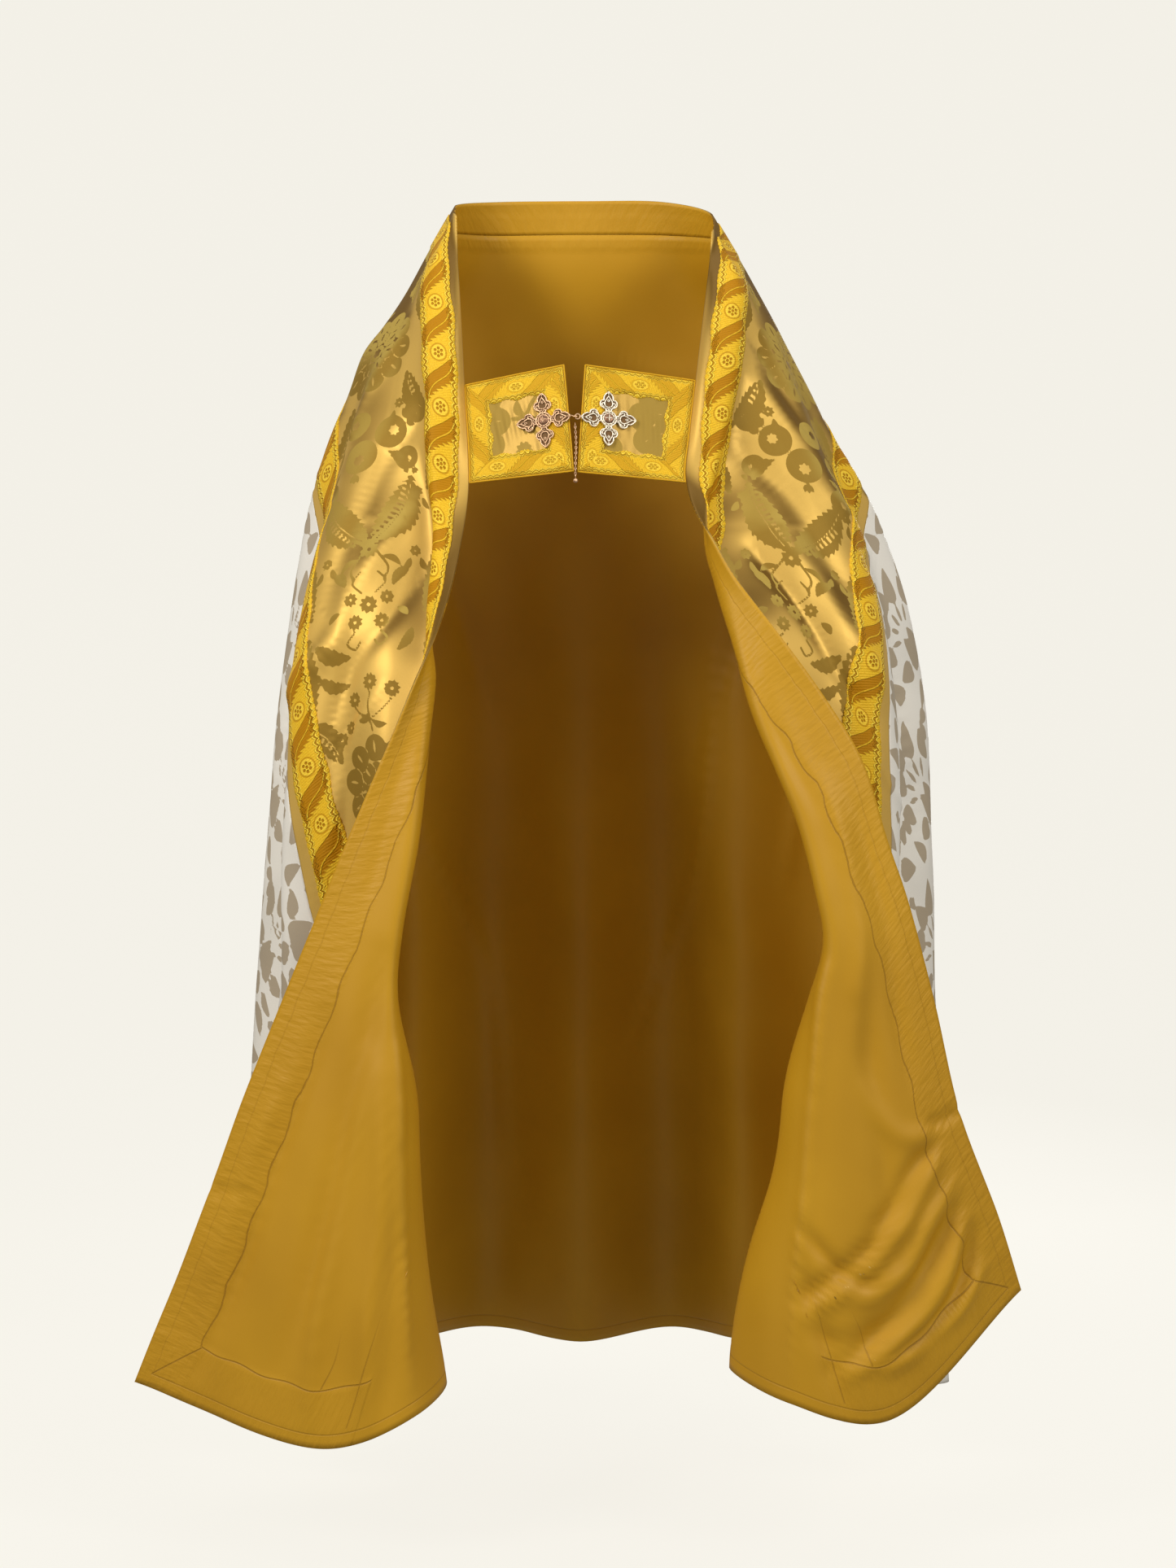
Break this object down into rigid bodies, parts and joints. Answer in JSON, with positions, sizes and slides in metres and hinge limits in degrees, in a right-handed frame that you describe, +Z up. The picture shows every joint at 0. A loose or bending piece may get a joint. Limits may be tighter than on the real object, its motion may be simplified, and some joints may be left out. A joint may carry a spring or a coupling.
{
  "type": "cope vestment",
  "caption": "Long half-circle cope in ivory damask with gold damask front bands, woven braid, mustard lining and a hooked clasp tab, shown worn and open.",
  "frame": {"origin": "the nape, at the height where the shoulders carry the cloak, in the middle of the neck opening", "axes": "+Z up, -Y towards the front of the wearer, +X towards the wearer's left"},
  "size_m": [1.05, 0.7069, 1.5236],
  "materials": {
    "ivory_damask": "woven damask, satin figure on a matte ground",
    "gold_damask": "woven damask, satin ground with a matte figure",
    "gold_braid": "woven braid with a soft sheen",
    "mustard_lining": "plain satin lining",
    "gilt_metal": "pale antique gilt",
    "dark_stone": "dark polished centre"
  },
  "bodies": {
    "root": {"body_panel": "ivory_damask", "orphrey_left": "gold_damask", "orphrey_right": "gold_damask", "lining_main": "mustard_lining", "lining_collar": "mustard_lining", "galloon_front_left": "gold_braid", "galloon_front_right": "gold_braid", "galloon_outer_left": "gold_braid", "galloon_outer_right": "gold_braid", "galloon_hem_left": "gold_braid", "galloon_hem_right": "gold_braid", "morse_panel_left": "gold_damask", "morse_panel_right": "gold_damask", "morse_braid_left": "gold_braid", "morse_braid_right": "gold_braid", "cross_left": "gilt_metal", "cross_right": "gilt_metal", "stone_left": "dark_stone", "stone_right": "dark_stone", "clasp_hook": "gilt_metal", "clasp_eye": "gilt_metal"}
  },
  "joints": []
}
